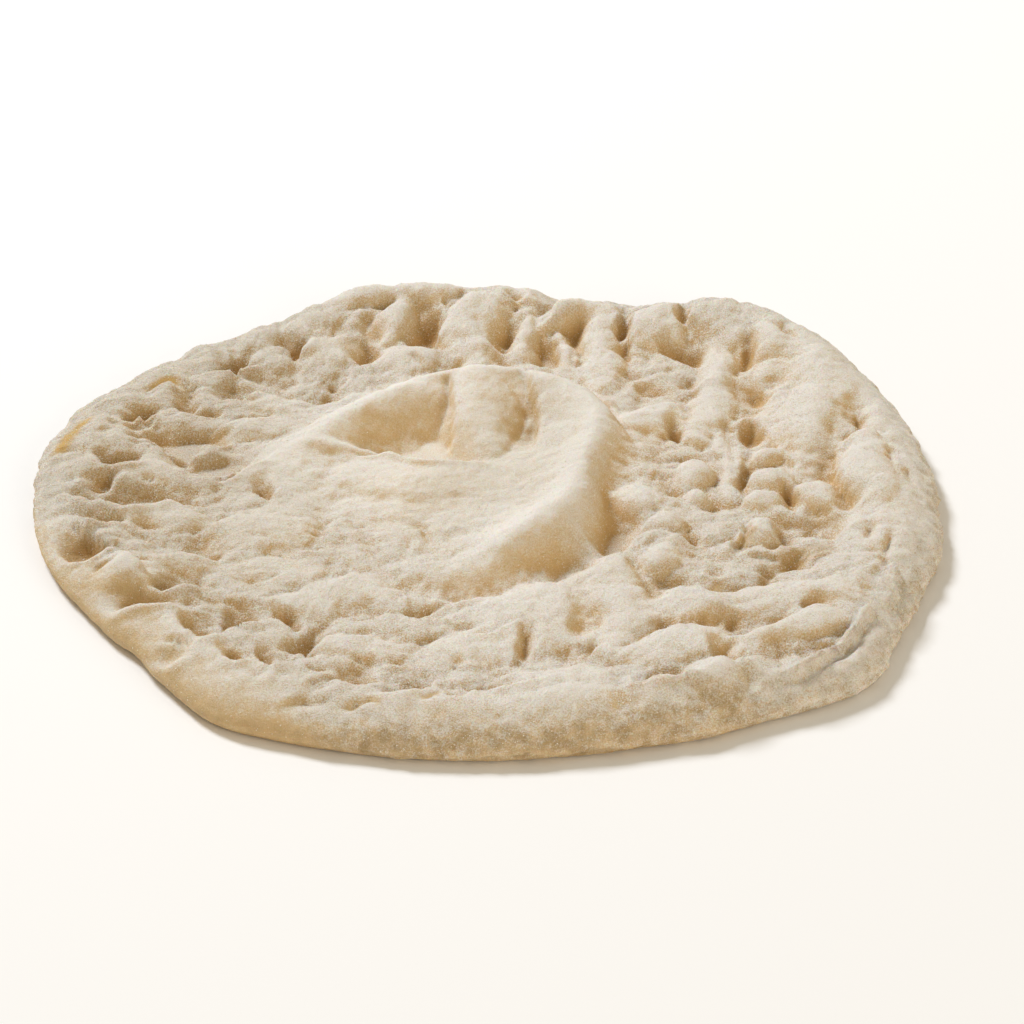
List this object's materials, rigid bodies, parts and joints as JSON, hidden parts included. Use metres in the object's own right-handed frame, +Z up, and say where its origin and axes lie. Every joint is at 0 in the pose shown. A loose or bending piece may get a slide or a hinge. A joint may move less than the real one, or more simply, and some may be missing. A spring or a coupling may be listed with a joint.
{
  "type": "raw pizza base",
  "caption": "Raw round pizza base of hand-pressed dough: fingertip hollows all over, a raised fold round the middle, a puffy uneven rim and a flat underside to bake on.",
  "frame": {"origin": "middle of the base's footprint, on the underside that it rests on", "axes": "+Z up through the thickness; seen from the front, +X to the right and +Y to the back"},
  "size_m": [0.3222, 0.3192, 0.0215],
  "materials": {
    "dough": "raw wheat dough dusted with flour, matt"
  },
  "bodies": {
    "root": {"pizza_base": "dough"}
  },
  "joints": []
}
